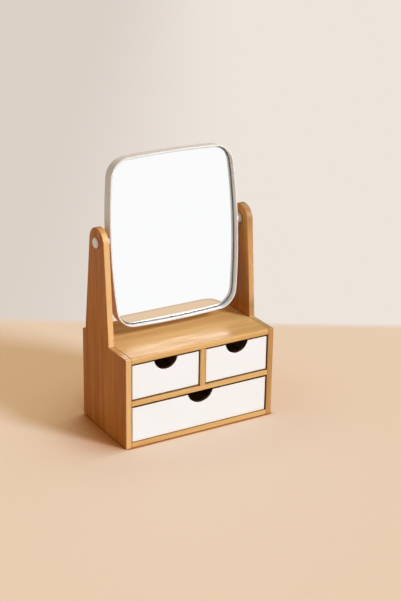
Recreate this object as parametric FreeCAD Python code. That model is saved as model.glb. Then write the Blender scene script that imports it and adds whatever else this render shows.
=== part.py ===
import FreeCAD, Part
import math
import os

# Table-top vanity mirror over a small chest of three drawers.
#
# X runs across the object, Y from its front to its back, Z up. The origin is on the
# table, under the middle of the cabinet. Lengths are in millimetres, angles in degrees.
#
# The two side panels are one board each: cabinet side below, tapered arm above. The
# mirror hangs between the arms on two bolts and can be turned right over.

Vector = FreeCAD.Vector
ACROSS = Vector(1, 0, 0)
BACKWARD = Vector(0, 1, 0)
UPWARD = Vector(0, 0, 1)

# Cabinet
cabinet_width = 200.0
cabinet_depth = 109.5
side_thickness = 7.5
top_thickness = 6.9
shelf_thickness = 6.0
divider_thickness = 7.0
divider_offset = 2.0            # to the right of the middle
bottom_thickness = 6.4
lower_bay_height = 47.0         # clear height for the wide drawer
upper_bay_height = 46.6         # clear height for the two small drawers
top_edge_round = 2.0            # softened front edge of the top board
board_arris = 0.5               # sanded edges of the side panels, the top and the bottom
heel_radius = 4.0               # rounded lower back corner of the side panels

# Arms, seen from the side
front_shoulder = 42.7           # from the cabinet's front to the foot of the arm
rear_shoulder = 7.0             # from the foot of the arm to the cabinet's back
foot_radius = 1.5               # hollow corner where the arm leaves the shoulder
arm_top_radius = 18.0
pivot_setback = 70.6            # from the cabinet's front to the pivot line

# Back panel, let into rebates and nailed
back_thickness = 3.0
rebate_width = 4.0
brad_margin = 24.0              # from the bays' corners to the outermost brads
back_brad_length = 12.0

# Brads: thin nails of rectangular wire with a T-shaped head
brad_width = 1.2
brad_thickness = 1.0
brad_head_width = 2.0
brad_head_depth = 0.6

# Hidden dowels; their pressed flutes are drawn as flats
dowel_flats = 8
dowel_radius = 1.5
dowel_in_side = 5.0
dowel_in_board = 15.0
dowel_edge_margin = 24.0        # from the board's front and back edges to the dowels
divider_dowel_in_board = 3.5
divider_dowel_in_divider = 11.0

# Drawers
front_thickness = 4.0           # thin faced board
front_setback = 1.5             # drawer fronts sit behind the cabinet's edges
front_arris = 0.3               # all round a front's face and its finger notch
side_reveal = 1.4               # gap beside a front
upper_top_reveal = 2.3          # gaps over and under the small drawers' fronts
upper_bottom_reveal = 1.8
lower_top_reveal = 2.9          # and over and under the wide one's
lower_bottom_reveal = 0.6
running_gap = 0.3               # under the drawer's sides
rear_gap = 1.2                  # between a pushed-in drawer and the back panel
drawer_wall = 5.0               # sides and back of a drawer
drawer_wall_drop = 3.0          # the walls end this far below the top of the front
front_lip = 1.8                 # what is left of the front beside its end rabbets
drawer_floor = 2.5
front_groove_depth = 1.2        # groove for the floor in the front
wall_groove_depth = 2.4         # and in the sides and the back
groove_height = 3.0             # from the lower edge of the walls to the floor
upper_notch_width = 30.5        # small drawers
lower_notch_width = 34.0        # wide drawer
notch_depth = 12.8
front_brad_inset = 1.1          # from the front ends of the sides to the brads
back_brad_inset = 2.6           # and from their back ends
drawer_brad_margin = 8.0        # from the lower and upper edges of the sides
drawer_brad_length = 11.0

# Mirror
mirror_side_gap = 6.75          # between the frame and each arm
mirror_floor_gap = 10.6         # between the upright frame and the cabinet's top
mirror_height = 204.6
mirror_depth = 14.6
mirror_tilt = 4.8               # how far the top leans back
pivot_above_centre = 6.5
side_bulge_radius = 735.0
end_bulge_radius = 1163.0       # top and bottom edges
mirror_corner_radius = 25.0
frame_wall = 1.8
frame_front_arris = 0.5
frame_back_arris = 0.8
glass_recess = 6.6              # from the front rim to the glass
glass_thickness = 3.0
glass_edge_gap = 1.1
backing_thickness = 2.4
backing_edge_gap = 0.3
lip_width = 4.5                 # rear lip that holds the backing board

# Pivots
bolt_radius = 2.5
bolt_clearance = 0.05           # radial, between the bolt and the arm
bolt_head_radius = 4.6
bolt_head_thickness = 2.4
bolt_socket_width = 3.0         # hexagon across its flats
bolt_socket_depth = 1.4
counterbore_depth = 3.5
head_gap = 0.3                  # between the bolt's head and the counterbore's floor
boss_radius = 6.3
insert_radius = 3.7
insert_length = 4.2
washer_radius = 6.0
washer_thickness = 0.8
arm_gap = 0.3                   # between turning pieces and the arms
cap_radius = 6.2
cap_thickness = 2.2
cap_arris = 0.9
cap_skirt_wall = 0.8
cap_skirt_depth = 2.6

# Derived sizes and places
half_width = cabinet_width / 2
inner_half_width = half_width - side_thickness
front_y = -cabinet_depth / 2
back_y = cabinet_depth / 2
panel_front_y = back_y - back_thickness
divider_left = divider_offset - divider_thickness / 2
divider_right = divider_offset + divider_thickness / 2
lower_bay_floor = bottom_thickness
lower_bay_roof = lower_bay_floor + lower_bay_height
upper_bay_floor = lower_bay_roof + shelf_thickness
upper_bay_roof = upper_bay_floor + upper_bay_height
cabinet_height = upper_bay_roof + top_thickness
pivot_y = front_y + pivot_setback
pivot_z = cabinet_height + mirror_floor_gap + mirror_height / 2 + pivot_above_centre
mirror_half_width = inner_half_width - mirror_side_gap
mirror_half_height = mirror_height / 2
rear_lip_thickness = mirror_depth - glass_recess - glass_thickness - backing_thickness
washer_outer = inner_half_width - arm_gap
boss_end = washer_outer - washer_thickness
counterbore_floor = half_width - counterbore_depth
head_start = counterbore_floor + head_gap
cap_start = half_width + arm_gap
skirt_outer_radius = bolt_head_radius + cap_skirt_wall
counterbore_radius = skirt_outer_radius + arm_gap


def block(x0, x1, y0, y1, z0, z1):
    """Box between two opposite corners."""
    return Part.makeBox(x1 - x0, y1 - y0, z1 - z0, Vector(x0, y0, z0))


def rod(radius, start, direction, length):
    return Part.makeCylinder(radius, length, start, direction)


def rounded_face(corners, to_space):
    """Flat face whose corners (u, v, radius) are rounded by tangent arcs."""
    starts, middles, ends = [], [], []
    for index, (u, v, radius) in enumerate(corners):
        corner = Vector(u, v, 0)
        before = Vector(*corners[index - 1][:2], 0) - corner
        after = Vector(*corners[(index + 1) % len(corners)][:2], 0) - corner
        before.normalize()
        after.normalize()
        half_angle = before.getAngle(after) / 2
        trim = radius / math.tan(half_angle)
        inward = (before + after).normalize()
        reach = radius / math.sin(half_angle) - radius
        starts.append(corner + before * trim)
        middles.append(corner + inward * reach)
        ends.append(corner + after * trim)
    edges = []
    for index, (u, v, radius) in enumerate(corners):
        if radius > 0:
            points = (starts[index], middles[index], ends[index])
            edges.append(Part.Arc(*(to_space(p.x, p.y) for p in points)).toShape())
        following = starts[(index + 1) % len(corners)]
        if (following - ends[index]).Length > 1e-6:
            line = Part.LineSegment(to_space(ends[index].x, ends[index].y),
                                    to_space(following.x, following.y))
            edges.append(line.toShape())
    return Part.Face(Part.Wire(Part.__sortEdges__(edges)))


def edges_on(solid, axis, place):
    """Edges that lie wholly in the plane where the named coordinate equals place."""
    found = []
    for edge in solid.Edges:
        box = edge.BoundBox
        low, high = getattr(box, axis + "Min"), getattr(box, axis + "Max")
        if abs(low - place) < 1e-4 and abs(high - place) < 1e-4:
            found.append(edge)
    return found


def drill(board, tools):
    """Board with the space of each tool taken out, as one solid."""
    return board.cut(Part.makeCompound(tools)).removeSplitter().Solids[0]


# Fasteners

def brad(head, direction, across, length):
    """Brad driven in along a direction, its head flush; across is the head's long way."""
    thin = direction.cross(across)

    def bar(width, depth):
        corner = head - across * (width / 2) - thin * (brad_thickness / 2)
        points = [corner, corner + across * width,
                  corner + across * width + thin * brad_thickness,
                  corner + thin * brad_thickness, corner]
        return Part.Face(Part.makePolygon(points)).extrude(direction * depth)

    return bar(brad_width, length).fuse(bar(brad_head_width, brad_head_depth)).removeSplitter()


def dowel(radius, start, direction, length):
    """Dowel along a level or upright direction, with flats all round."""
    points = []
    for step in range(dowel_flats + 1):
        turn = FreeCAD.Rotation(direction, 360 / dowel_flats * step)
        points.append(start + turn.multVec(BACKWARD * radius))
    return Part.Face(Part.makePolygon(points)).extrude(direction * length)


def spread(low, high, margin, count):
    """Evenly spaced places between two ends, with a margin at each end."""
    step = (high - low - 2 * margin) / (count - 1)
    return [low + margin + step * index for index in range(count)]


def make_cabinet_dowels():
    """Dowels from the sides into the ends of the three level boards."""
    heights = [bottom_thickness / 2,
               lower_bay_roof + shelf_thickness / 2,
               cabinet_height - top_thickness / 2]
    dowels = []
    for side in (-1, 1):
        for height in heights:
            for y in spread(front_y, panel_front_y, dowel_edge_margin, 2):
                start = Vector(side * (inner_half_width + dowel_in_side), y, height)
                length = dowel_in_side + dowel_in_board
                dowels.append(dowel(dowel_radius, start, ACROSS * -side, length))
    return dowels


def make_divider_dowels():
    """Upright dowels at both ends of the divider."""
    length = divider_dowel_in_board + divider_dowel_in_divider
    dowels = []
    for y in spread(front_y, panel_front_y, dowel_edge_margin, 2):
        low = Vector(divider_offset, y, upper_bay_floor - divider_dowel_in_board)
        high = Vector(divider_offset, y, upper_bay_roof + divider_dowel_in_board)
        dowels.append(dowel(dowel_radius, low, UPWARD, length))
        dowels.append(dowel(dowel_radius, high, UPWARD * -1, length))
    return dowels


def make_back_brads():
    """Brads round the back panel and along the shelf."""
    side_x = inner_half_width + rebate_width / 2
    top_z = upper_bay_roof + rebate_width / 2
    bottom_z = lower_bay_floor - rebate_width / 2
    shelf_z = lower_bay_roof + shelf_thickness / 2
    inward = BACKWARD * -1
    brads = []
    for z in spread(lower_bay_floor, upper_bay_roof, brad_margin, 2):
        for x in (-side_x, side_x):
            brads.append(brad(Vector(x, back_y, z), inward, UPWARD, back_brad_length))
    for x in spread(-inner_half_width, inner_half_width, brad_margin, 3):
        for z in (top_z, shelf_z, bottom_z):
            brads.append(brad(Vector(x, back_y, z), inward, ACROSS, back_brad_length))
    return brads


# Cabinet boards

def arm_corner(foot_y, sign):
    """Corner where an arm's flank, tangent to the round top, reaches the top's height."""
    reach_y = pivot_y - foot_y
    reach_z = pivot_z - cabinet_height
    distance = math.hypot(reach_y, reach_z)
    lean = math.atan2(reach_y, reach_z) - sign * math.asin(arm_top_radius / distance)
    rise = reach_z + arm_top_radius
    return foot_y + rise * math.tan(lean), cabinet_height + rise


def make_side_panel(side, dowels, brads):
    """Cabinet side and arm in one board, rebated behind and bored for the pivot."""
    front_foot = front_y + front_shoulder
    rear_foot = back_y - rear_shoulder
    front_top = arm_corner(front_foot, 1)
    rear_top = arm_corner(rear_foot, -1)
    corners = [(front_y, 0, 0),
               (front_y, cabinet_height, 0),
               (front_foot, cabinet_height, foot_radius),
               (*front_top, arm_top_radius),
               (*rear_top, arm_top_radius),
               (rear_foot, cabinet_height, foot_radius),
               (back_y, cabinet_height, 0),
               (back_y, 0, heel_radius)]
    left = inner_half_width if side > 0 else -half_width
    face = rounded_face(corners, lambda y, z: Vector(left, y, z))
    panel = face.extrude(ACROSS * side_thickness)
    rim = edges_on(panel, "X", left) + edges_on(panel, "X", left + side_thickness)
    panel = panel.makeChamfer(board_arris, rim)

    rebate_x = sorted((side * inner_half_width, side * (inner_half_width + rebate_width)))
    rebate = block(*rebate_x, panel_front_y, back_y,
                   lower_bay_floor - rebate_width, upper_bay_roof + rebate_width)
    pivot = Vector(side * inner_half_width, pivot_y, pivot_z)
    bore = rod(bolt_radius + bolt_clearance, pivot, ACROSS * side, side_thickness)
    recess_start = Vector(side * counterbore_floor, pivot_y, pivot_z)
    recess = rod(counterbore_radius, recess_start, ACROSS * side, counterbore_depth)
    return drill(panel, [rebate, bore, recess] + dowels + brads)


def front_edge(board, height):
    """The front edge of a level board at one height."""
    return [edge for edge in edges_on(board, "Z", height)
            if edge.BoundBox.YMax < front_y + 1e-4]


def make_top_board(dowels, brads):
    board = block(-inner_half_width, inner_half_width, front_y, back_y,
                  upper_bay_roof, cabinet_height)
    board = board.makeFillet(top_edge_round, front_edge(board, cabinet_height))
    board = board.makeChamfer(board_arris, front_edge(board, upper_bay_roof))
    rebate = block(-inner_half_width, inner_half_width, panel_front_y, back_y,
                   upper_bay_roof, upper_bay_roof + rebate_width)
    return drill(board, [rebate] + dowels + brads)


def make_middle_shelf(dowels, brads):
    board = block(-inner_half_width, inner_half_width, front_y, panel_front_y,
                  lower_bay_roof, upper_bay_floor)
    return drill(board, dowels + brads)


def make_bottom_board(dowels, brads):
    board = block(-inner_half_width, inner_half_width, front_y, back_y, 0, lower_bay_floor)
    board = board.makeChamfer(board_arris, front_edge(board, 0))
    rebate = block(-inner_half_width, inner_half_width, panel_front_y, back_y,
                   lower_bay_floor - rebate_width, lower_bay_floor)
    return drill(board, [rebate] + dowels + brads)


def make_centre_divider(dowels):
    board = block(divider_left, divider_right, front_y, panel_front_y,
                  upper_bay_floor, upper_bay_roof)
    return drill(board, dowels)


def make_back_panel(brads):
    reach = inner_half_width + rebate_width
    panel = block(-reach, reach, panel_front_y, back_y,
                  lower_bay_floor - rebate_width, upper_bay_roof + rebate_width)
    return drill(panel, brads)


def make_cabinet():
    dowels = make_cabinet_dowels()
    divider_dowels = make_divider_dowels()
    brads = make_back_brads()
    return {
        "left_side_panel": make_side_panel(-1, dowels, brads),
        "right_side_panel": make_side_panel(1, dowels, brads),
        "top_board": make_top_board(dowels + divider_dowels, brads),
        "middle_shelf": make_middle_shelf(dowels + divider_dowels, brads),
        "bottom_board": make_bottom_board(dowels, brads),
        "centre_divider": make_centre_divider(divider_dowels),
        "back_panel": make_back_panel(brads),
        "cabinet_dowels": Part.makeCompound(dowels),
        "divider_dowels": Part.makeCompound(divider_dowels),
        "back_panel_brads": Part.makeCompound(brads),
    }


# Drawers

def make_drawer_front(x0, x1, z0, z1, notch_width, wall_top, floor, brads):
    """Front with end rabbets for the sides, a groove for the floor and a finger notch."""
    y0 = front_y + front_setback
    y1 = y0 + front_thickness
    notch_radius = (notch_width ** 2 / 4 + notch_depth ** 2) / (2 * notch_depth)
    centre = Vector((x0 + x1) / 2, y0, z1 - notch_depth + notch_radius)
    notch = rod(notch_radius, centre, BACKWARD, front_thickness)
    rabbets = [block(x0, x0 + drawer_wall, y0 + front_lip, y1, z0, wall_top),
               block(x1 - drawer_wall, x1, y0 + front_lip, y1, z0, wall_top)]
    board = drill(block(x0, x1, y0, y1, z0, z1), [notch])
    board = board.makeChamfer(front_arris, edges_on(board, "Y", y0))
    return drill(board, rabbets + [floor] + brads)


def make_drawer_brads(x0, x1, z0, z1, side_front, side_back):
    """Brads through the sides into the front and the back board."""
    brads = []
    for side, x in ((1, x0), (-1, x1)):
        for y in (side_front + front_brad_inset, side_back - back_brad_inset):
            for z in (z0 + drawer_brad_margin, z1 - drawer_brad_margin):
                brads.append(brad(Vector(x, y, z), ACROSS * side, UPWARD, drawer_brad_length))
    return brads


def make_drawer(name, bay_left, bay_right, bay_floor, front_low, front_top, notch_width):
    """Drawer of a bay: front, two sides, back, floor and brads."""
    x0, x1 = bay_left + side_reveal, bay_right - side_reveal
    wall_low = bay_floor + running_gap
    wall_top = front_top - drawer_wall_drop
    side_front = front_y + front_setback + front_lip
    front_back = front_y + front_setback + front_thickness
    side_back = panel_front_y - rear_gap
    floor_z = wall_low + groove_height

    floor = block(x0 + drawer_wall - wall_groove_depth, x1 - drawer_wall + wall_groove_depth,
                  front_back - front_groove_depth, side_back - drawer_wall + wall_groove_depth,
                  floor_z, floor_z + drawer_floor)
    brads = make_drawer_brads(x0, x1, wall_low, wall_top, side_front, side_back)
    left = block(x0, x0 + drawer_wall, side_front, side_back, wall_low, wall_top)
    right = block(x1 - drawer_wall, x1, side_front, side_back, wall_low, wall_top)
    back = block(x0 + drawer_wall, x1 - drawer_wall, side_back - drawer_wall, side_back,
                 wall_low, wall_top)
    front = make_drawer_front(x0, x1, front_low, front_top, notch_width,
                              wall_top, floor, brads)
    return {
        name + "_front": front,
        name + "_left_side": drill(left, [floor] + brads),
        name + "_right_side": drill(right, [floor] + brads),
        name + "_back": drill(back, [floor] + brads),
        name + "_floor": floor,
        name + "_brads": Part.makeCompound(brads),
    }


def make_drawers():
    upper = (upper_bay_floor, upper_bay_floor + upper_bottom_reveal,
             upper_bay_roof - upper_top_reveal, upper_notch_width)
    lower = (lower_bay_floor, lower_bay_floor + lower_bottom_reveal,
             lower_bay_roof - lower_top_reveal, lower_notch_width)
    nodes = make_drawer("upper_left_drawer", -inner_half_width, divider_left, *upper)
    nodes.update(make_drawer("upper_right_drawer", divider_right, inner_half_width, *upper))
    nodes.update(make_drawer("lower_drawer", -inner_half_width, inner_half_width, *lower))
    return nodes


# The mirror's pieces are drawn upright round the pivot line, then tilted and hung.

def bulged_plate(inset, front, thickness):
    """Plate with bowed sides and round corners; inset shrinks it evenly."""
    side_centre = Vector(mirror_half_width - side_bulge_radius, 0, 0)
    end_centre = Vector(0, 0, mirror_half_height - end_bulge_radius)
    side_reach = side_bulge_radius - mirror_corner_radius
    end_reach = end_bulge_radius - mirror_corner_radius
    between = end_centre - side_centre
    along = (side_reach ** 2 - end_reach ** 2 + between.Length ** 2) / (2 * between.Length)
    away = math.sqrt(side_reach ** 2 - along ** 2)
    heading = Vector(between).normalize()
    corner = side_centre + heading * along + heading.cross(BACKWARD) * away

    to_side = (corner - side_centre).normalize()
    to_end = (corner - end_centre).normalize()
    corner_radius = mirror_corner_radius - inset
    side_join = corner + to_side * corner_radius
    end_join = corner + to_end * corner_radius
    corner_middle = corner + (to_side + to_end).normalize() * corner_radius
    side_middle = Vector(mirror_half_width - inset, 0, 0)
    end_middle = Vector(0, 0, mirror_half_height - inset)

    def turned(point, sign_x, sign_z):
        return Vector(point.x * sign_x, front, point.z * sign_z - pivot_above_centre)

    def arc(start, middle, end):
        return Part.Arc(start, middle, end).toShape()

    edges = []
    for sign_x in (-1, 1):
        edges.append(arc(turned(side_join, sign_x, -1), turned(side_middle, sign_x, 1),
                         turned(side_join, sign_x, 1)))
        for sign_z in (-1, 1):
            edges.append(arc(turned(side_join, sign_x, sign_z),
                             turned(corner_middle, sign_x, sign_z),
                             turned(end_join, sign_x, sign_z)))
    for sign_z in (-1, 1):
        edges.append(arc(turned(end_join, -1, sign_z), turned(end_middle, 1, sign_z),
                         turned(end_join, 1, sign_z)))
    face = Part.Face(Part.Wire(Part.__sortEdges__(edges)))
    return face.extrude(BACKWARD * thickness)


def hang(shape):
    """Tilt a piece about the pivot line and put it between the arms."""
    hung = shape.copy()
    hung.rotate(Vector(0, 0, 0), ACROSS, -mirror_tilt)
    hung.translate(Vector(0, pivot_y, pivot_z))
    return hung


def make_mirror_frame():
    """Thin band with a rear lip and a boss on each side for the pivot."""
    front = -mirror_depth / 2
    band = bulged_plate(0, front, mirror_depth)
    band = band.makeChamfer(frame_front_arris, edges_on(band, "Y", front))
    band = band.makeChamfer(frame_back_arris, edges_on(band, "Y", front + mirror_depth))
    pocket = bulged_plate(frame_wall, front, mirror_depth - rear_lip_thickness)
    window = bulged_plate(frame_wall + lip_width, front, mirror_depth)
    band = band.cut(pocket).cut(window)
    for side in (-1, 1):
        root = Vector(side * (mirror_half_width - frame_wall / 2), 0, 0)
        boss = rod(boss_radius, root, ACROSS * side, boss_end - mirror_half_width + frame_wall / 2)
        bore_start = Vector(side * (boss_end - insert_length), 0, 0)
        band = band.fuse(boss).cut(rod(insert_radius, bore_start, ACROSS * side, insert_length))
    return band.removeSplitter().Solids[0]


def make_mirror_glass():
    front = -mirror_depth / 2 + glass_recess
    return bulged_plate(frame_wall + glass_edge_gap, front, glass_thickness)


def make_backing_board():
    front = -mirror_depth / 2 + glass_recess + glass_thickness
    return bulged_plate(frame_wall + backing_edge_gap, front, backing_thickness)


def make_pivot_bolt(side):
    """Bolt from the insert in the boss to the head in the arm's counterbore."""
    tip = boss_end - insert_length
    shank = rod(bolt_radius, Vector(side * tip, 0, 0), ACROSS * side, head_start - tip)
    head = rod(bolt_head_radius, Vector(side * head_start, 0, 0), ACROSS * side,
               bolt_head_thickness)
    socket_floor = side * (head_start + bolt_head_thickness - bolt_socket_depth)
    corner_reach = bolt_socket_width / math.sqrt(3)
    points = [Vector(socket_floor, corner_reach * math.cos(math.radians(60 * turn)),
                     corner_reach * math.sin(math.radians(60 * turn))) for turn in range(7)]
    socket = Part.Face(Part.makePolygon(points)).extrude(ACROSS * side * bolt_socket_depth)
    return shank.fuse(head).cut(socket).removeSplitter().Solids[0]


def make_pivot_cap(side):
    """Round cover outside the arm, its skirt pressed over the bolt's head."""
    disc = rod(cap_radius, Vector(side * cap_start, 0, 0), ACROSS * side, cap_thickness)
    rim = edges_on(disc, "X", side * (cap_start + cap_thickness))
    disc = disc.makeChamfer(cap_arris, rim)
    skirt_tip = cap_start - cap_skirt_depth
    skirt = rod(skirt_outer_radius, Vector(side * skirt_tip, 0, 0), ACROSS * side,
                cap_skirt_depth)
    hollow = rod(bolt_head_radius, Vector(side * skirt_tip, 0, 0), ACROSS * side,
                 cap_skirt_depth)
    return disc.fuse(skirt.cut(hollow)).removeSplitter().Solids[0]


def make_ring(side, start, inner_radius, outer_radius, length):
    place = Vector(side * start, 0, 0)
    ring = rod(outer_radius, place, ACROSS * side, length)
    return ring.cut(rod(inner_radius, place, ACROSS * side, length)).Solids[0]


def make_mirror():
    sides = {"left": -1, "right": 1}
    nodes = {
        "mirror_frame": make_mirror_frame(),
        "mirror_glass": make_mirror_glass(),
        "backing_board": make_backing_board(),
        "pivot_inserts": Part.makeCompound(
            [make_ring(side, boss_end - insert_length, bolt_radius, insert_radius, insert_length)
             for side in sides.values()]),
        "pivot_washers": Part.makeCompound(
            [make_ring(side, boss_end, bolt_radius, washer_radius, washer_thickness)
             for side in sides.values()]),
    }
    for name, side in sides.items():
        nodes[name + "_pivot_bolt"] = make_pivot_bolt(side)
        nodes[name + "_pivot_cap"] = make_pivot_cap(side)
    return {name: hang(shape) for name, shape in nodes.items()}


def main():
    os.makedirs("parts", exist_ok=True)
    nodes = {**make_cabinet(), **make_drawers(), **make_mirror()}
    for name, shape in nodes.items():
        shape.exportStep(os.path.join("parts", name + ".step"))
        print(name, len(shape.Solids), "solids", round(shape.Volume, 1), "mm3",
              "valid" if shape.isValid() else "NOT VALID")


main()
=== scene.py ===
import bpy
import math
from mathutils import Matrix, Vector

# Table-top vanity mirror over a chest of three drawers.
# Metres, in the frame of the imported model: X across, Y from front to back, Z up.

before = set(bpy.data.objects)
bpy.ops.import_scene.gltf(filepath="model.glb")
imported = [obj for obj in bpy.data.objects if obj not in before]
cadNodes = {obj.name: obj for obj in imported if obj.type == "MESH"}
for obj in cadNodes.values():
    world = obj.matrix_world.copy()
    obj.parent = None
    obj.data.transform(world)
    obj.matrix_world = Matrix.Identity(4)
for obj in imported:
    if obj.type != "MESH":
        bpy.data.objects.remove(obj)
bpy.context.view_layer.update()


# small helpers for node trees

def feed(tree, socket, value):
    # an output is linked to the socket, anything else is set on it
    if isinstance(value, bpy.types.NodeSocket):
        tree.links.new(value, socket)
    else:
        socket.default_value = value


def addNode(tree, kind, inputs=None, **settings):
    node = tree.nodes.new(kind)
    for name, value in settings.items():
        setattr(node, name, value)
    for name, value in (inputs or {}).items():
        feed(tree, node.inputs[name], value)
    return node


def calculate(tree, operation, first, second=0.0):
    return addNode(tree, "ShaderNodeMath", {0: first, 1: second}, operation=operation).outputs[0]


def fadeBetween(tree, value, low, high, start=0.0, end=1.0):
    # smooth change from start to end while value goes from low to high
    inputs = {"Value": value, "From Min": low, "From Max": high, "To Min": start, "To Max": end}
    node = addNode(tree, "ShaderNodeMapRange", inputs, interpolation_type="SMOOTHSTEP")
    return node.outputs["Result"]


def mixColors(tree, amount, first, second, blend="MIX"):
    # inputs 6 and 7 and output 2 are the mix node's colour sockets
    node = addNode(tree, "ShaderNodeMix", data_type="RGBA", blend_type=blend)
    feed(tree, node.inputs[0], amount)
    feed(tree, node.inputs[6], first)
    feed(tree, node.inputs[7], second)
    return node.outputs[2]


def newGroup(name, inputs, outputs):
    # inputs and outputs are lists of (socket name, kind, default)
    group = bpy.data.node_groups.new(name, "ShaderNodeTree")
    for direction, sockets in (("INPUT", inputs), ("OUTPUT", outputs)):
        for socketName, kind, default in sockets:
            socket = group.interface.new_socket(socketName, in_out=direction,
                                                socket_type="NodeSocket" + kind)
            if default is not None:
                socket.default_value = default
    start = group.nodes.new("NodeGroupInput")
    end = group.nodes.new("NodeGroupOutput")
    return group, start.outputs, end.inputs


def useGroup(tree, group, inputs):
    return addNode(tree, "ShaderNodeGroup", inputs, node_tree=group).outputs


def srgb(red, green, blue):
    # colour written as on a colour chart, 0 to 255
    def linear(value):
        value = value / 255
        return value / 12.92 if value <= 0.04045 else ((value + 0.055) / 1.055) ** 2.4
    return (linear(red), linear(green), linear(blue), 1.0)


# shared effects

# each layer of the grain: scale along the fibres, scale across them, detail
grainLook = {
    "broad": (7.0, 120.0, 2.0), "fibres": (16.0, 620.0, 3.0), "threads": (50.0, 2600.0, 1.0),
    "noiseRoughness": 0.55, "stripShift": 7.3, "fibreHeight": 0.7, "threadHeight": 0.3,
}


def makeBoardGrain(look):
    # fibres and glued strips of a board; Position has X along the fibres, Y across the board
    group, given, out = newGroup(
        "boardGrain",
        [("Position", "Vector", None), ("Pale Color", "Color", None), ("Deep Color", "Color", None),
         ("Strip Width", "Float", 0.006), ("Strip Contrast", "Float", 0.3),
         ("Fibre Contrast", "Float", 0.5), ("Cloud Contrast", "Float", 0.4)],
        [("Color", "Color", None), ("Shine", "Float", None), ("Height", "Float", None)])
    place = addNode(group, "ShaderNodeSeparateXYZ", {0: given["Position"]}).outputs
    strip = calculate(group, "FLOOR", calculate(group, "DIVIDE", place["Y"], given["Strip Width"]))
    stripTone = addNode(group, "ShaderNodeTexWhiteNoise", {"W": strip},
                        noise_dimensions="1D").outputs["Value"]

    def stretchedNoise(alongScale, acrossScale, detail):
        # each strip is cut from another stem, so its fibres do not run on into the next
        shift = calculate(group, "MULTIPLY", strip, look["stripShift"])
        along = calculate(group, "ADD", calculate(group, "MULTIPLY", place["X"], alongScale), shift)
        vector = addNode(group, "ShaderNodeCombineXYZ", {
            "X": along,
            "Y": calculate(group, "MULTIPLY", place["Y"], acrossScale),
            "Z": calculate(group, "MULTIPLY", place["Z"], acrossScale)})
        noise = addNode(group, "ShaderNodeTexNoise", {
            "Vector": vector.outputs[0], "Scale": 1.0, "Detail": detail,
            "Roughness": look["noiseRoughness"]})
        return noise.outputs["Fac"]

    def spread(value, contrast):
        # the value as a step up or down from the middle tone
        return calculate(group, "MULTIPLY", calculate(group, "SUBTRACT", value, 0.5), given[contrast])

    broad = stretchedNoise(*look["broad"])
    fibres = stretchedNoise(*look["fibres"])
    threads = stretchedNoise(*look["threads"])
    large = calculate(group, "ADD", spread(stripTone, "Strip Contrast"), spread(broad, "Cloud Contrast"))
    small = calculate(group, "ADD", spread(fibres, "Fibre Contrast"), spread(threads, "Fibre Contrast"))
    tone = calculate(group, "ADD", large, small)
    depth = addNode(group, "ShaderNodeClamp", {"Value": calculate(group, "ADD", tone, 0.5)}).outputs[0]
    group.links.new(mixColors(group, depth, given["Pale Color"], given["Deep Color"]), out["Color"])
    group.links.new(calculate(group, "SUBTRACT", 1.0, fibres), out["Shine"])
    height = calculate(group, "ADD", calculate(group, "MULTIPLY", fibres, look["fibreHeight"]),
                       calculate(group, "MULTIPLY", threads, look["threadHeight"]))
    group.links.new(height, out["Height"])
    return group


# the bend is the cosine between the flat and the rounded normal
edgeLook = {"bend": (0.995, 0.8), "patchScale": 160.0, "samples": 4}


def makeEdgeMask(look):
    # 1 along outer edges, falling to 0 a short way in from them
    group, given, out = newGroup(
        "edgeMask", [("Reach", "Float", 0.0008), ("Breakup", "Float", 0.3)],
        [("Mask", "Float", None), ("Normal", "Vector", None)])
    rounded = addNode(group, "ShaderNodeBevel", {"Radius": given["Reach"]},
                      samples=look["samples"]).outputs[0]
    flat = addNode(group, "ShaderNodeNewGeometry").outputs["True Normal"]
    cosine = addNode(group, "ShaderNodeVectorMath", {0: rounded, 1: flat}, operation="DOT_PRODUCT")
    bend = fadeBetween(group, cosine.outputs["Value"], *look["bend"])
    place = addNode(group, "ShaderNodeTexCoord").outputs["Object"]
    patches = addNode(group, "ShaderNodeTexNoise",
                      {"Vector": place, "Scale": look["patchScale"], "Detail": 2.0})
    broken = calculate(group, "MULTIPLY", patches.outputs["Fac"], given["Breakup"])
    group.links.new(calculate(group, "MULTIPLY", bend, calculate(group, "SUBTRACT", 1.0, broken)),
                    out["Mask"])
    group.links.new(rounded, out["Normal"])
    return group


fineLook = {"cloudScale": 14.0, "waveHeight": 0.8, "poreHeight": 0.2}


def makeFineSurface(look):
    # low waves and pores of lacquer, moulded plastic and painted sheet
    group, given, out = newGroup(
        "fineSurface", [("Wave Scale", "Float", 90.0), ("Pore Scale", "Float", 1400.0)],
        [("Cloud", "Float", None), ("Height", "Float", None)])
    place = addNode(group, "ShaderNodeTexCoord").outputs["Object"]
    waves = addNode(group, "ShaderNodeTexNoise",
                    {"Vector": place, "Scale": given["Wave Scale"], "Detail": 2.0}).outputs["Fac"]
    pores = addNode(group, "ShaderNodeTexNoise",
                    {"Vector": place, "Scale": given["Pore Scale"], "Detail": 1.0}).outputs["Fac"]
    clouds = addNode(group, "ShaderNodeTexNoise",
                     {"Vector": place, "Scale": look["cloudScale"], "Detail": 3.0}).outputs["Fac"]
    group.links.new(clouds, out["Cloud"])
    height = calculate(group, "ADD", calculate(group, "MULTIPLY", waves, look["waveHeight"]),
                       calculate(group, "MULTIPLY", pores, look["poreHeight"]))
    group.links.new(height, out["Height"])
    return group


# how far a normal has to turn towards a side before it counts as that side
faceLook = {"broad": (0.6, 0.85), "end": (0.7, 0.95)}


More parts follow.
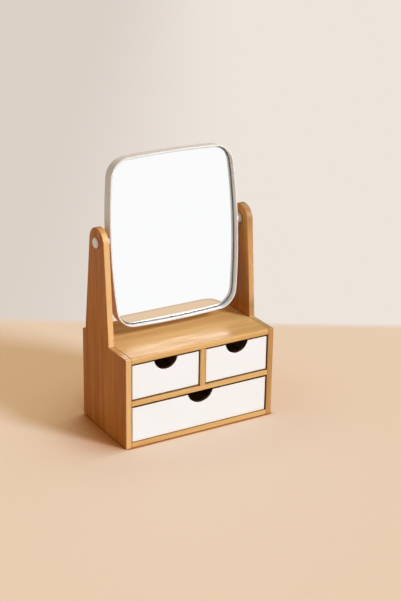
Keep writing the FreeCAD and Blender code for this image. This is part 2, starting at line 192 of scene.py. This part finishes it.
def makeBoardFaces(look):
    # which side of a board a point is on; Normal has X along the fibres, Y across, Z through the board
    group, given, out = newGroup(
        "boardFaces", [("Normal", "Vector", None)], [("Broad", "Float", None), ("End", "Float", None)])
    parts = addNode(group, "ShaderNodeSeparateXYZ", {0: given["Normal"]}).outputs
    through = calculate(group, "ABSOLUTE", parts["Z"])
    along = calculate(group, "ABSOLUTE", parts["X"])
    group.links.new(fadeBetween(group, through, *look["broad"]), out["Broad"])
    group.links.new(fadeBetween(group, along, *look["end"]), out["End"])
    return group


def makePaintedCreaseShade():
    # 1 deep inside joints, gaps and contact lines, 0 in the open: where the painted shade goes
    group, given, out = newGroup(
        "paintedCreaseShade", [("Reach", "Float", 0.003), ("Closed", "Float", 0.4), ("Open", "Float", 0.85)],
        [("Mask", "Float", None)])
    openness = addNode(group, "ShaderNodeAmbientOcclusion", {"Distance": given["Reach"]}, samples=6)
    group.links.new(fadeBetween(group, openness.outputs["AO"], given["Closed"], given["Open"], 1.0, 0.0),
                    out["Mask"])
    return group


boardGrain = makeBoardGrain(grainLook)
boardFaces = makeBoardFaces(faceLook)
edgeMask = makeEdgeMask(edgeLook)
paintedCreaseShade = makePaintedCreaseShade()
fineSurface = makeFineSurface(fineLook)
print("shared effects ready")


# materials

noiseRange = (0.3, 0.7)                             # nearly all of a noise lies between these values


def newMaterial(name, look):
    material = bpy.data.materials.new(name)
    material.use_nodes = True
    tree = material.node_tree
    shader = tree.nodes["Principled BSDF"]
    for socketName, value in look.get("shader", {}).items():
        shader.inputs[socketName].default_value = value
    return material, tree, shader


def addBump(tree, shader, height, strength, distance, normal=None):
    inputs = {"Height": height, "Strength": strength, "Distance": distance}
    if normal is not None:
        inputs["Normal"] = normal
    bump = addNode(tree, "ShaderNodeBump", inputs)
    tree.links.new(bump.outputs[0], shader.inputs["Normal"])


def addPaintedCreaseShade(tree, color, look):
    # painted shade: the crease tint multiplies the colour deep inside joints, gaps and contact lines
    crease = useGroup(tree, paintedCreaseShade, {"Reach": look["creaseReach"], "Closed": look["creaseRange"][0],
                                         "Open": look["creaseRange"][1]})
    return mixColors(tree, crease["Mask"], color, look["creaseShadeTint"], "MULTIPLY")


def paintedLightAndShadeByHeight(tree, place, stops):
    # painted light and shade: colour that changes with the height, in metres
    low, high = stops[0][0], stops[-1][0]
    height = addNode(tree, "ShaderNodeSeparateXYZ", {0: place}).outputs["Z"]
    share = addNode(tree, "ShaderNodeMapRange", {"Value": height, "From Min": low, "From Max": high})
    ramp = addNode(tree, "ShaderNodeValToRGB", {"Fac": share.outputs["Result"]})
    elements = ramp.color_ramp.elements
    while len(elements) < len(stops):
        elements.new(0.5)
    for element, (stopHeight, tint) in zip(elements, stops):
        element.position = (stopHeight - low) / (high - low)
        element.color = (*tint, 1.0)
    return ramp.outputs["Color"]


def makeBoardMaterial(name, look):
    material, tree, shader = newMaterial(name, look)
    axes = look["axes"].upper()                     # which way the fibres run, then across, then through
    given = addNode(tree, "ShaderNodeTexCoord").outputs

    def turned(vector, shift):
        parts = addNode(tree, "ShaderNodeSeparateXYZ", {0: vector}).outputs
        along = calculate(tree, "ADD", parts[axes[0]], shift)
        return addNode(tree, "ShaderNodeCombineXYZ",
                       {"X": along, "Y": parts[axes[1]], "Z": parts[axes[2]]}).outputs[0]

    faces = useGroup(tree, boardFaces, {"Normal": turned(given["Normal"], 0.0)})
    pale, deep = (mixColors(tree, faces["End"], mixColors(tree, faces["Broad"], narrow, broad), end)
                  for broad, narrow, end in zip(look["broad"], look["narrow"], look["end"]))
    grain = useGroup(tree, boardGrain, {
        "Position": turned(given["Object"], look["shift"]), "Pale Color": pale, "Deep Color": deep,
        "Strip Width": look["stripWidth"], "Strip Contrast": look["stripContrast"],
        "Fibre Contrast": look["fibreContrast"], "Cloud Contrast": look["cloudContrast"]})
    edge = useGroup(tree, edgeMask, {"Reach": look["edgeReach"], "Breakup": look["edgeBreakup"]})
    # pale along the edges: partly sanded wear, partly a painted highlight on the arris
    edgeWearAndHighlight = calculate(tree, "MULTIPLY", edge["Mask"], look["edgeLight"])
    color = mixColors(tree, edgeWearAndHighlight, grain["Color"], look["edgeColor"])
    # painted light and shade on the right panel: darker and lighter bands by height
    if "innerPaintedLightAndShade" in look:                         # one on the inner side, one on the edges, none outside
        outward = addNode(tree, "ShaderNodeSeparateXYZ", {0: given["Normal"]}).outputs["X"]
        tint = mixColors(tree, fadeBetween(tree, outward, *look["innerFacing"]),
                         paintedLightAndShadeByHeight(tree, given["Object"], look["innerPaintedLightAndShade"]),
                         paintedLightAndShadeByHeight(tree, given["Object"], look["narrowPaintedLightAndShade"]))
        tinted = fadeBetween(tree, outward, *look["outerFacing"], 1.0, 0.0)
        color = mixColors(tree, tinted, color, tint, "MULTIPLY")
    color = addPaintedCreaseShade(tree, color, look)
    tree.links.new(color, shader.inputs["Base Color"])
    low, high = look["roughness"]
    shine = fadeBetween(tree, grain["Shine"], *noiseRange, high, low)
    tree.links.new(shine, shader.inputs["Roughness"])
    addBump(tree, shader, grain["Height"], look["bump"], look["bumpDepth"], edge["Normal"])
    return material


def makeSmoothMaterial(name, look):
    # lacquer, moulded plastic, painted sheet, nylon
    material, tree, shader = newMaterial(name, look)
    surface = useGroup(tree, fineSurface,
                       {"Wave Scale": look["waveScale"], "Pore Scale": look["poreScale"]})
    edge = useGroup(tree, edgeMask, {"Reach": look["edgeReach"], "Breakup": look["edgeBreakup"]})
    cloud = fadeBetween(tree, surface["Cloud"], *noiseRange)
    clouded = mixColors(tree, cloud, look["color"], look["cloudColor"])
    # pale along the edges: a painted highlight on the arris, with some wear
    edgeWearAndHighlight = calculate(tree, "MULTIPLY", edge["Mask"], look["edgeLight"])
    color = mixColors(tree, edgeWearAndHighlight, clouded, look["edgeColor"])
    # painted shade: the lip colour darkens faces that face up low on the frame
    if "lipPaintedShade" in look:                          # faces up, low on the frame: the glass doubles its light
        given = addNode(tree, "ShaderNodeTexCoord").outputs
        upward = addNode(tree, "ShaderNodeSeparateXYZ", {0: given["Normal"]}).outputs["Z"]
        height = addNode(tree, "ShaderNodeSeparateXYZ", {0: given["Object"]}).outputs["Z"]
        lip = calculate(tree, "MULTIPLY", fadeBetween(tree, upward, *look["lipFacing"]),
                        fadeBetween(tree, height, *look["lipHeight"], 1.0, 0.0))
        color = mixColors(tree, lip, color, look["lipPaintedShade"])
    color = addPaintedCreaseShade(tree, color, look)
    tree.links.new(color, shader.inputs["Base Color"])
    tree.links.new(fadeBetween(tree, surface["Cloud"], *noiseRange, *look["roughness"]),
                   shader.inputs["Roughness"])
    addBump(tree, shader, surface["Height"], look["bump"], look["bumpDepth"], edge["Normal"])
    return material


def dress(material, *names):
    for name in names:
        slots = cadNodes[name].data.materials
        slots.clear()
        slots.append(material)


# cabinet boards

# colours come as a pale and a deep one: broad faces, narrow edges, end grain
bambooTones = (srgb(233, 191, 127), srgb(200, 141, 74))
bambooBase = {
    "broad": bambooTones, "narrow": bambooTones,
    "end": (srgb(216, 160, 96), srgb(176, 118, 60)), "edgeColor": srgb(246, 208, 148),
    "stripWidth": 0.0065, "stripContrast": 0.35, "fibreContrast": 0.9, "cloudContrast": 0.9,
    "edgeReach": 0.0007, "edgeBreakup": 0.5, "edgeLight": 0.35, "roughness": (0.36, 0.52),
    "bump": 0.25, "bumpDepth": 0.0002, "shift": 0.0,
    # painted shade: the crease tint darkens the wood inside joints and gaps
    "creaseReach": 0.003, "creaseRange": (0.3, 0.85), "creaseShadeTint": (0.38, 0.3, 0.22, 1.0),
    "shader": {"Specular IOR Level": 0.25},
}
leftPanelLook = {
    **bambooBase, "axes": "zyx", "broad": (srgb(210, 133, 54), srgb(165, 86, 19)),
    "narrow": (srgb(238, 194, 134), srgb(216, 162, 100)),
}
# the painted light and shade tints are (height in metres, colour that multiplies the wood)
rightPanelLook = {
    **leftPanelLook, "shift": 0.9, "narrow": (srgb(224, 166, 98), srgb(190, 126, 62)),
    "end": (srgb(222, 182, 124), srgb(184, 142, 86)),
    "innerFacing": (-0.6, -0.3), "outerFacing": (0.3, 0.5),
    "innerPaintedLightAndShade": ((0.1135, (1.0, 1.0, 1.0)), (0.127, (0.7, 0.75, 0.6)), (0.16, (0.75, 0.8, 0.65)),
                  (0.185, (0.92, 1.0, 1.05)), (0.2, (1.1, 1.35, 1.6)), (0.225, (1.2, 1.6, 2.2))),
    "narrowPaintedLightAndShade": ((0.1135, (0.8, 0.87, 1.0)), (0.126, (0.6, 0.66, 0.7)), (0.142, (0.97, 1.08, 1.5)),
                   (0.185, (0.92, 1.02, 1.36)), (0.212, (0.86, 0.9, 1.12)), (0.235, (0.66, 0.7, 0.8))),
}
topBoardLook = {
    **bambooBase, "axes": "xyz", "shift": 0.31, "broad": (srgb(227, 186, 124), srgb(190, 139, 74)),
    "shader": {"Specular IOR Level": 0.22},
}
shelfLook = {**bambooBase, "axes": "xyz", "shift": 0.74}
bottomBoardLook = {**bambooBase, "axes": "xyz", "shift": 1.27}
dividerLook = {
    **bambooBase, "axes": "zyx", "shift": 0.52, "narrow": (srgb(226, 184, 124), srgb(192, 134, 74)),
}

dress(makeBoardMaterial("bambooLeft", leftPanelLook), "left_side_panel")
dress(makeBoardMaterial("bambooRight", rightPanelLook), "right_side_panel")
dress(makeBoardMaterial("bambooTop", topBoardLook), "top_board")
dress(makeBoardMaterial("bambooShelf", shelfLook), "middle_shelf")
dress(makeBoardMaterial("bambooBottom", bottomBoardLook), "bottom_board")
dress(makeBoardMaterial("bambooDivider", dividerLook), "centre_divider")

plywoodTones = (srgb(232, 206, 164), srgb(206, 172, 124))
plywoodEdgeTones = (srgb(206, 172, 126), srgb(168, 130, 86))
plywoodBase = {
    **bambooBase, "broad": plywoodTones, "narrow": plywoodEdgeTones, "end": plywoodEdgeTones,
    "edgeColor": srgb(236, 214, 178), "creaseShadeTint": (0.5, 0.42, 0.34, 1.0),
    "stripContrast": 0.0, "fibreContrast": 0.7, "cloudContrast": 1.2, "edgeLight": 0.2,
    "roughness": (0.55, 0.7), "bump": 0.35,
}
dress(makeBoardMaterial("backPlywood", {**plywoodBase, "axes": "xzy"}), "back_panel")
dowelTones = (srgb(236, 214, 176), srgb(214, 184, 140))
dowelLook = {**plywoodBase, "broad": dowelTones, "narrow": dowelTones}
dress(makeBoardMaterial("levelDowelWood", {**dowelLook, "axes": "xyz"}), "cabinet_dowels")
dress(makeBoardMaterial("uprightDowelWood", {**dowelLook, "axes": "zyx"}), "divider_dowels")
print("cabinet boards done")


# drawers

frontBoardLook = {
    "color": srgb(241, 240, 239), "cloudColor": srgb(239, 237, 235),
    "cutColor": srgb(78, 54, 36), "cutDeepColor": srgb(56, 40, 27),
    "waveScale": 60.0, "poreScale": 900.0, "edgeReach": 0.0004, "edgeBreakup": 0.4,
    # painted shade: the crease tint warms the white face in the gaps round the front
    "creaseReach": 0.006, "creaseRange": (0.7, 0.95), "creaseShadeTint": (1.0, 0.82, 0.6, 1.0),
    "facing": (-0.5, -0.65), "roughness": 0.4, "cutRoughness": 0.8, "bump": 0.05, "bumpDepth": 0.0001,
    "shader": {"Specular IOR Level": 0.3},
}
drawerBoardTones = (srgb(226, 199, 156), srgb(200, 166, 118))
drawerBoardBase = {
    **plywoodBase, "broad": drawerBoardTones, "narrow": drawerBoardTones,
    "stripContrast": 0.15, "stripWidth": 0.02,
}


def makeFrontBoard(look):
    # white on the face, brown hardboard on the cut edges, in the notch and behind
    material, tree, shader = newMaterial("whiteFacedBoard", look)
    surface = useGroup(tree, fineSurface, {"Wave Scale": look["waveScale"], "Pore Scale": look["poreScale"]})
    cloud = fadeBetween(tree, surface["Cloud"], *noiseRange)
    white = addPaintedCreaseShade(tree, mixColors(tree, cloud, look["color"], look["cloudColor"]), look)
    brown = mixColors(tree, cloud, look["cutColor"], look["cutDeepColor"])
    normal = addNode(tree, "ShaderNodeTexCoord").outputs["Normal"]
    forward = addNode(tree, "ShaderNodeSeparateXYZ", {0: normal}).outputs["Y"]
    faced = fadeBetween(tree, forward, *look["facing"])
    tree.links.new(mixColors(tree, faced, brown, white), shader.inputs["Base Color"])
    tree.links.new(fadeBetween(tree, faced, 0.0, 1.0, look["cutRoughness"], look["roughness"]),
                   shader.inputs["Roughness"])
    edge = useGroup(tree, edgeMask, {"Reach": look["edgeReach"], "Breakup": look["edgeBreakup"]})
    addBump(tree, shader, surface["Height"], look["bump"], look["bumpDepth"], edge["Normal"])
    return material


frontBoard = makeFrontBoard(frontBoardLook)
drawerSideWood = makeBoardMaterial("drawerSideWood", {**drawerBoardBase, "axes": "yzx"})
drawerBackWood = makeBoardMaterial("drawerBackWood", {**drawerBoardBase, "axes": "xzy"})
drawerFloorWood = makeBoardMaterial("drawerFloorWood", {**drawerBoardBase, "axes": "xyz"})
for drawer in ("upper_left_drawer", "upper_right_drawer", "lower_drawer"):
    dress(frontBoard, drawer + "_front")
    dress(drawerSideWood, drawer + "_left_side", drawer + "_right_side")
    dress(drawerBackWood, drawer + "_back")
    dress(drawerFloorWood, drawer + "_floor")
print("drawers done")


# metal

def makeMetalMaterial(name, look):
    material, tree, shader = newMaterial(name, look)
    surface = useGroup(tree, fineSurface, {"Wave Scale": look["waveScale"], "Pore Scale": look["poreScale"]})
    cloud = fadeBetween(tree, surface["Cloud"], *noiseRange)
    tone = mixColors(tree, cloud, look["color"], look["dullColor"])
    tree.links.new(tone, shader.inputs["Base Color"])
    tree.links.new(fadeBetween(tree, surface["Cloud"], *noiseRange, *look["roughness"]),
                   shader.inputs["Roughness"])
    addBump(tree, shader, surface["Height"], look["bump"], look["bumpDepth"])
    return material


steelLook = {
    "color": srgb(206, 206, 208), "dullColor": srgb(172, 173, 176), "waveScale": 300.0, "poreScale": 3000.0,
    "roughness": (0.25, 0.42), "bump": 0.2, "bumpDepth": 0.00005, "shader": {"Metallic": 1.0},
}
brassLook = {**steelLook, "color": srgb(222, 190, 118), "dullColor": srgb(186, 150, 84)}
steel = makeMetalMaterial("zincedSteel", steelLook)
dress(steel, "back_panel_brads", "left_pivot_bolt", "right_pivot_bolt",
      "upper_left_drawer_brads", "upper_right_drawer_brads", "lower_drawer_brads")
dress(makeMetalMaterial("turnedBrass", brassLook), "pivot_inserts")
print("metal done")


# mirror

frameLook = {
    "color": srgb(235, 232, 228), "cloudColor": srgb(231, 227, 222), "edgeColor": srgb(242, 239, 235),
    "waveScale": 120.0, "poreScale": 1500.0, "edgeReach": 0.0006, "edgeBreakup": 0.4, "edgeLight": 0.4,
    # painted shade: the crease tint draws the dark line in the gap round the glass
    "creaseReach": 0.0025, "creaseRange": (0.15, 0.55), "creaseShadeTint": (0.28, 0.29, 0.33, 1.0),
    "roughness": (0.32, 0.42), "bump": 0.08, "bumpDepth": 0.0001, "shader": {"Specular IOR Level": 0.4},
}
# painted shade on the frame's up-facing lower inner lip
frameLipLook = {"lipPaintedShade": srgb(200, 198, 197), "lipFacing": (0.5, 0.8), "lipHeight": (0.15, 0.17)}
backingLook = {**frameLook, "color": srgb(232, 229, 224), "cloudColor": srgb(226, 222, 216),
               "poreScale": 700.0, "roughness": (0.6, 0.72), "bump": 0.3}
capLook = {**frameLook, "color": srgb(252, 245, 236), "cloudColor": srgb(248, 240, 230)}
nylonLook = {**frameLook, "color": srgb(228, 225, 216), "cloudColor": srgb(222, 218, 208)}
dress(makeSmoothMaterial("framePlastic", {**frameLook, **frameLipLook}), "mirror_frame")
dress(makeSmoothMaterial("backingSheet", backingLook), "backing_board")
dress(makeSmoothMaterial("capPlastic", capLook), "left_pivot_cap", "right_pivot_cap")
dress(makeSmoothMaterial("nylon", nylonLook), "pivot_washers")

glassLook = {
    "color": srgb(251, 251, 251), "hazeColor": srgb(249, 250, 250), "cutColor": srgb(96, 104, 108),
    "rimPaintedShade": srgb(128, 130, 134), "edgeReach": 0.0032, "facing": (-0.85, -0.95),
    "shader": {"Metallic": 1.0, "Roughness": 0.0},
}


def makeMirrorGlass(look):
    # silvered behind the flat face, with painted shade darkening it towards the rim; the ground edges stay
    # dark
    material, tree, shader = newMaterial("silveredGlass", look)
    haze = useGroup(tree, fineSurface, {})["Cloud"]
    silver = mixColors(tree, haze, look["color"], look["hazeColor"])
    normal = addNode(tree, "ShaderNodeTexCoord").outputs["Normal"]
    forward = addNode(tree, "ShaderNodeSeparateXYZ", {0: normal}).outputs["Y"]
    flat = fadeBetween(tree, forward, *look["facing"])
    edge = useGroup(tree, edgeMask, {"Reach": look["edgeReach"], "Breakup": 0.0})
    silver = mixColors(tree, edge["Mask"], silver, look["rimPaintedShade"])
    tree.links.new(mixColors(tree, flat, look["cutColor"], silver), shader.inputs["Base Color"])
    return material


dress(makeMirrorGlass(glassLook), "mirror_glass")
print("mirror done")


# floor, light and camera

plainWhite = (1.0, 1.0, 1.0, 1.0)
stageLook = {
    "size": 60.0, "plainColor": srgb(196, 190, 182), "tableColor": srgb(223, 229, 229),
    # painted shade and light on the table: the contact colour darkens it near the object, the shade glow
    # lifts its shadows
    "shadeGlow": (0.98, 0.5, 0.15, 1.0), "paintedContactShade": srgb(190, 114, 24),
    "shadeReach": 0.12, "shadeSamples": 8, "shadeRange": (0.48, 1.0),     # the soft shade round the object
    "litFront": (-0.052, -0.06), "litRight": (0.098, 0.104), "litAmount": 0.9,
    # painted shade: the crease tint darkens the table along the contact line
    "creaseReach": 0.004, "creaseRange": (0.35, 0.8), "creaseShadeTint": (0.5, 0.42, 0.33, 1.0),
    "mirroredTable": srgb(234, 204, 171), "mirroredEdge": srgb(209, 182, 152),
    "wallLeftColor": srgb(219, 208, 198), "wallRightColor": srgb(237, 228, 220), "wallChange": (-0.3, 0.12),
    "wallDirection": (0.515, 0.8572),                 # the wall stands across this line on the floor
    "wallStart": 0.284, "wallFade": 0.012,            # metres behind the object, and how soft the change is
    "tableLift": 0.4,                                 # how far the shadows on the table are lightened
    "mirroredCorner": (0.3265, -0.489), "mirroredRound": 0.014,       # the table's corner in the mirror
    "mirroredEdgeStart": 0.001, "mirroredFar": (-0.2, -0.35),         # its edge, and where its tone sets in
    "roughness": 0.75, "specular": 0.2,
}
lightLook = {
    "keyHeading": 32.0, "keyHeight": 34.0,            # degrees to the right of the front, and above the floor
    "keyStrength": 0.86, "keyColor": (0.99, 1.0, 1.04), "keySoftness": 13.0, "keyDistance": 2.0,
    "fillStrength": 0.38, "fillColor": (1.0, 0.93, 0.85, 1.0), "fillBehind": (1.75, 1.25, 0.75, 1.0),
    "fillChange": (0.0, 0.6), "behindColor": (0.36, 0.26, 0.18, 1.0), "behindChange": (-0.1, 0.2),
}
cameraLook = {
    "place": (-0.81748, -1.41077, 0.80021), "heading": (0.4782, 0.79597, -0.37116),
    "roll": 0.919, "lens": 88.85, "sensorWidth": 36.0,
}


def addFloor(look):
    half = look["size"] / 2
    mesh = bpy.data.meshes.new("floor")
    mesh.from_pydata([(-half, -half, 0), (half, -half, 0), (half, half, 0), (-half, half, 0)], [],
                     [(0, 1, 2, 3)])
    floor = bpy.data.objects.new("floor", mesh)
    bpy.context.scene.collection.objects.link(floor)
    material = bpy.data.materials.new("paleFloor")
    material.use_nodes = True
    tree = material.node_tree
    shader = tree.nodes["Principled BSDF"]
    shader.inputs["Roughness"].default_value = look["roughness"]
    shader.inputs["Specular IOR Level"].default_value = look["specular"]
    place = addNode(tree, "ShaderNodeNewGeometry").outputs["Position"]

    def distanceAlong(direction):
        return addNode(tree, "ShaderNodeVectorMath", {0: place, 1: direction},
                       operation="DOT_PRODUCT").outputs["Value"]

    # the camera and the mirror see a warm table and a paler wall; the object is lit by a plain floor
    backX, backY = look["wallDirection"]
    wall = fadeBetween(tree, distanceAlong((backX, backY, 0.0)), look["wallStart"] - look["wallFade"],
                       look["wallStart"] + look["wallFade"])
    alongWall = distanceAlong((backY, -backX, 0.0))
    wallColor = mixColors(tree, fadeBetween(tree, alongWall, *look["wallChange"]),
                          look["wallLeftColor"], look["wallRightColor"])
    rays = addNode(tree, "ShaderNodeLightPath").outputs
    mirrored = calculate(tree, "MAXIMUM", rays["Is Glossy Ray"], rays["Is Transmission Ray"])
    seen = calculate(tree, "MAXIMUM", rays["Is Camera Ray"], mirrored)

    # painted shade: near the object the table is darkened and warmed on the left and behind, hardly in front
    # and on the right
    openness = addNode(tree, "ShaderNodeAmbientOcclusion", {"Distance": look["shadeReach"]},
                       samples=look["shadeSamples"]).outputs["AO"]
    across = distanceAlong((1.0, 0.0, 0.0))
    backward = distanceAlong((0.0, 1.0, 0.0))
    lit = calculate(tree, "MAXIMUM", fadeBetween(tree, backward, *look["litFront"]),
                    fadeBetween(tree, across, *look["litRight"]))
    lit = calculate(tree, "MULTIPLY", lit, look["litAmount"])
    openness = fadeBetween(tree, calculate(tree, "MAXIMUM", openness, lit), *look["shadeRange"])
    table = addPaintedCreaseShade(tree, mixColors(tree, openness, look["paintedContactShade"], look["tableColor"]), look)
    tree.links.new(mixColors(tree, seen, look["plainColor"], table), shader.inputs["Base Color"])

    # outside the round corner of the table the mirror shows white
    cornerX, cornerY = look["mirroredCorner"]
    outside = addNode(tree, "ShaderNodeVectorMath",
                      {0: place, 1: (1.0, -1.0, 0.0), 2: (-cornerX, cornerY, 0.0)},
                      operation="MULTIPLY_ADD").outputs["Vector"]
    outside = addNode(tree, "ShaderNodeVectorMath", {0: outside, 1: (0.0, 0.0, 0.0)},
                      operation="MAXIMUM").outputs["Vector"]
    beyond = addNode(tree, "ShaderNodeVectorMath", {0: outside}, operation="LENGTH").outputs["Value"]
    white = calculate(tree, "GREATER_THAN", beyond, look["mirroredRound"])
    rim = fadeBetween(tree, beyond, look["mirroredEdgeStart"], look["mirroredRound"])
    mirroredColor = mixColors(tree, rim, look["mirroredTable"], look["mirroredEdge"])
    mirroredColor = mixColors(tree, white, mirroredColor, plainWhite)
    distant = calculate(tree, "MAXIMUM", white, fadeBetween(tree, backward, *look["mirroredFar"]))
    distant = calculate(tree, "MULTIPLY", mirrored, distant)
    glowColor = mixColors(tree, wall, look["shadeGlow"], wallColor)
    glowColor = mixColors(tree, distant, glowColor, mirroredColor)
    glow = addNode(tree, "ShaderNodeEmission", {"Color": glowColor, "Strength": 1.0})
    # painted light: a glow lifts the table's shadows, weaker close to the object
    lift = calculate(tree, "MULTIPLY", openness, look["tableLift"])
    share = calculate(tree, "MULTIPLY", seen, calculate(tree, "MAXIMUM", lift, wall))
    share = calculate(tree, "MAXIMUM", share, distant)
    blend = addNode(tree, "ShaderNodeMixShader", {0: share})
    tree.links.new(shader.outputs[0], blend.inputs[1])
    tree.links.new(glow.outputs[0], blend.inputs[2])
    tree.links.new(blend.outputs[0], tree.nodes["Material Output"].inputs["Surface"])
    mesh.materials.append(material)


def addLight(look):
    sun = bpy.data.lights.new("keyLight", "SUN")
    sun.energy = look["keyStrength"] * math.pi        # at pi a white surface that faces it renders white
    sun.color = look["keyColor"]
    sun.angle = math.radians(look["keySoftness"])
    lamp = bpy.data.objects.new("keyLight", sun)
    heading, height = math.radians(look["keyHeading"]), math.radians(look["keyHeight"])
    toward = Vector((math.sin(heading) * math.cos(height), -math.cos(heading) * math.cos(height),
                     math.sin(height)))
    lamp.rotation_euler = toward.to_track_quat("Z", "Y").to_euler()
    lamp.location = toward * look["keyDistance"]
    bpy.context.scene.collection.objects.link(lamp)
    world = bpy.data.worlds.new("studio")
    world.use_nodes = True
    tree = world.node_tree
    background = tree.nodes["Background"]
    background.inputs["Strength"].default_value = look["fillStrength"]
    rays = addNode(tree, "ShaderNodeLightPath").outputs
    seen = calculate(tree, "MAXIMUM", rays["Is Camera Ray"],
                     calculate(tree, "MAXIMUM", rays["Is Glossy Ray"], rays["Is Transmission Ray"]))
    # reflections find a white room in front of the object and a dim warm one behind
    heading = addNode(tree, "ShaderNodeTexCoord").outputs["Generated"]
    backward = addNode(tree, "ShaderNodeSeparateXYZ", {0: heading}).outputs["Y"]
    fill = mixColors(tree, fadeBetween(tree, backward, *look["fillChange"]),
                     look["fillColor"], look["fillBehind"])
    tree.links.new(fill, background.inputs["Color"])
    behind = calculate(tree, "MULTIPLY", fadeBetween(tree, backward, *look["behindChange"]),
                       calculate(tree, "SUBTRACT", 1.0, rays["Is Camera Ray"]))
    room = addNode(tree, "ShaderNodeBackground",
                   {"Color": mixColors(tree, behind, plainWhite, look["behindColor"])})
    blend = addNode(tree, "ShaderNodeMixShader", {0: seen})
    tree.links.new(background.outputs[0], blend.inputs[1])
    tree.links.new(room.outputs[0], blend.inputs[2])
    tree.links.new(blend.outputs[0], tree.nodes["World Output"].inputs["Surface"])
    bpy.context.scene.world = world


def addCamera(look):
    forward = Vector(look["heading"]).normalized()
    right = forward.cross(Vector((0, 0, 1))).normalized()
    right = Matrix.Rotation(math.radians(-look["roll"]), 3, forward) @ right
    up = right.cross(forward)
    data = bpy.data.cameras.new("camera")
    data.lens = look["lens"]
    data.sensor_width = look["sensorWidth"]
    camera = bpy.data.objects.new("camera", data)
    turn = Matrix((right, up, -forward)).transposed()
    camera.matrix_world = Matrix.Translation(look["place"]) @ turn.to_4x4()
    bpy.context.scene.collection.objects.link(camera)
    bpy.context.scene.camera = camera


addFloor(stageLook)
addLight(lightLook)
addCamera(cameraLook)
bpy.context.scene.view_settings.view_transform = "Standard"
print("stage done")
